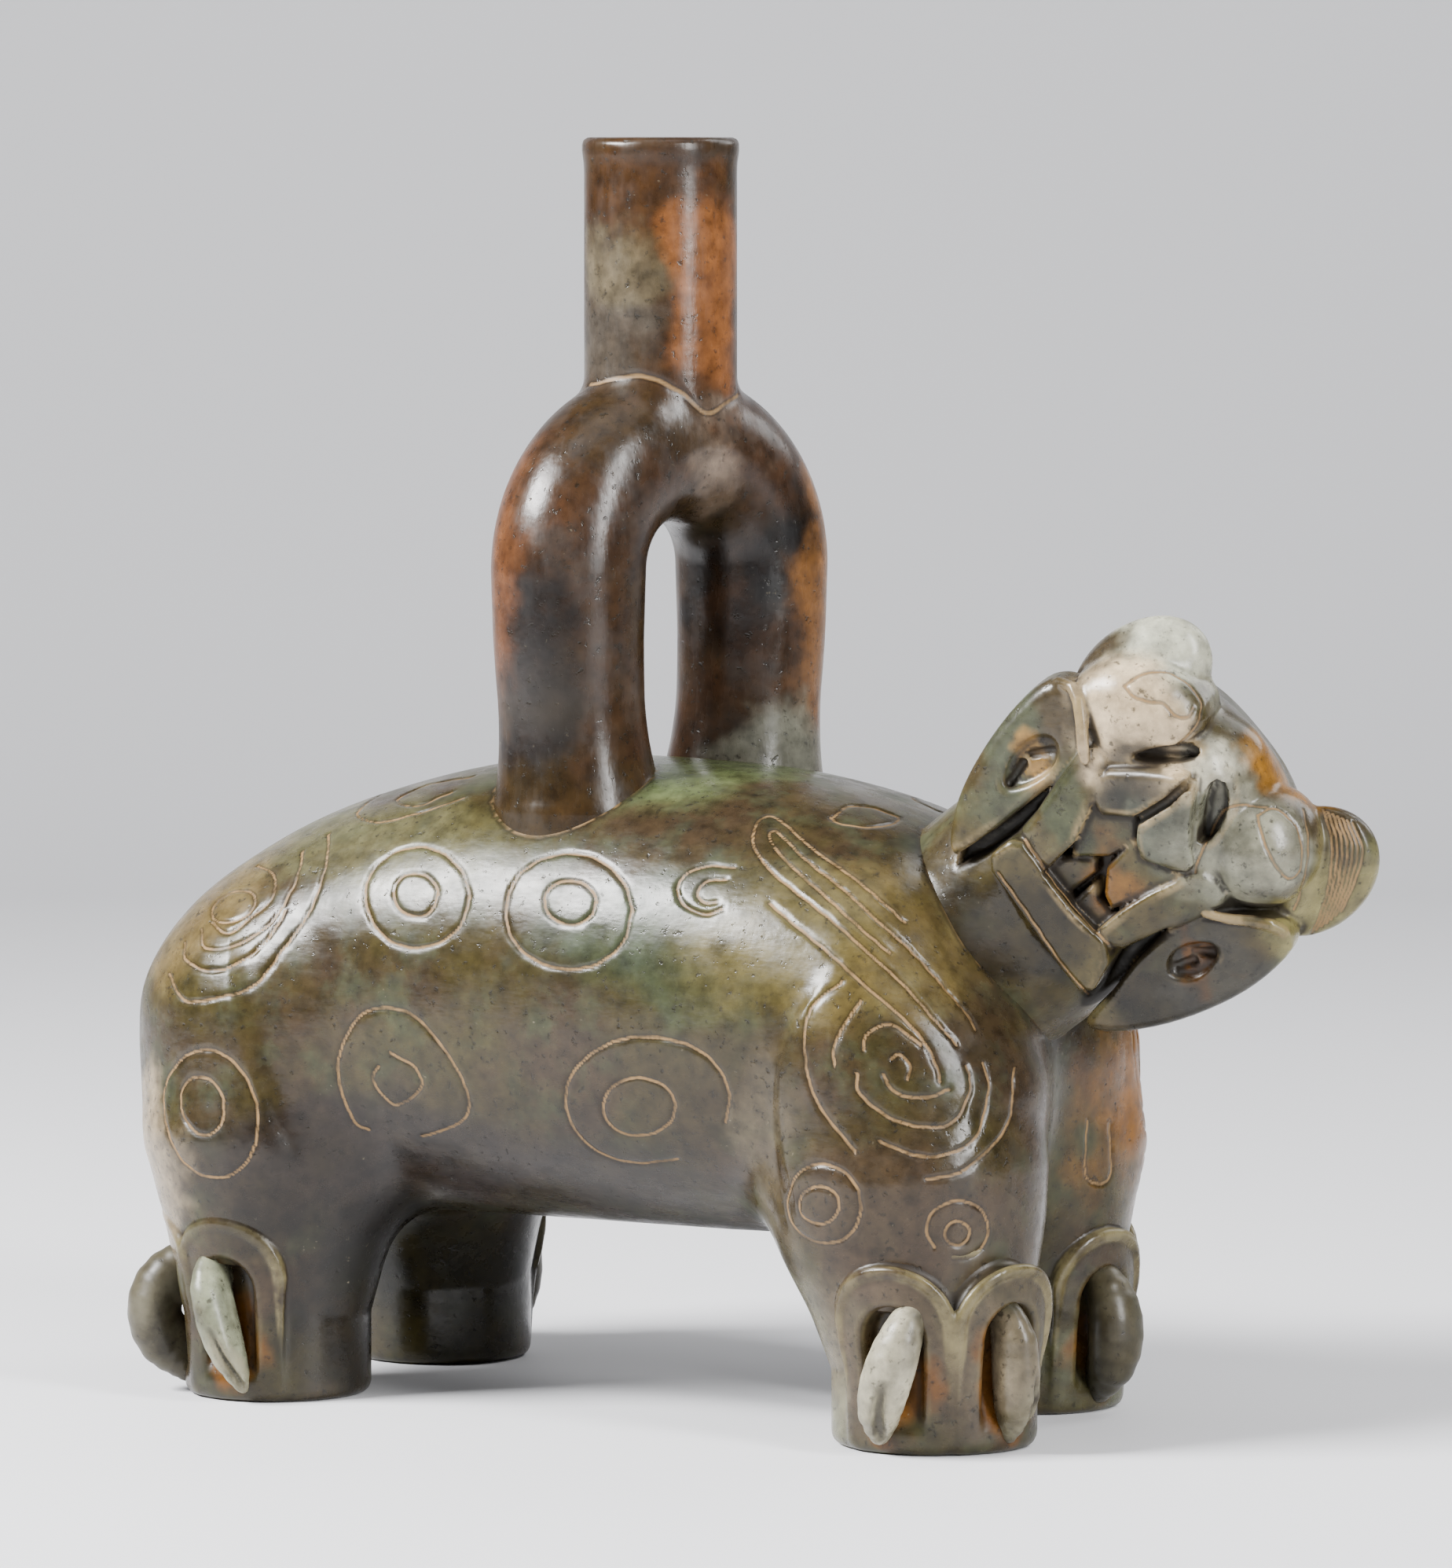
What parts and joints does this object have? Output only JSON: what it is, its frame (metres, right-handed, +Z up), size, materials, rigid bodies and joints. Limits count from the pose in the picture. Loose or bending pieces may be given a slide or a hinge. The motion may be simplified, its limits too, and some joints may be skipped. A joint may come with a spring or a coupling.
{
  "type": "stirrup spout vessel",
  "caption": "Hollow fired-clay vessel shaped as a stout four-legged feline, head turned to its right, with a stirrup handle on its back that carries one upright spout.",
  "frame": {"origin": "on the floor, below the middle of the whole vessel", "axes": "+X from rump to chest, +Z up; the feline's right flank, to which the head is turned, is at -Y"},
  "size_m": [0.2588, 0.1126, 0.24],
  "materials": {
    "burnished_clay": "burnished reduced clay, olive brown with charcoal and orange fire clouds and pale filled incised lines"
  },
  "bodies": {
    "root": {"vessel": "burnished_clay"}
  },
  "joints": []
}
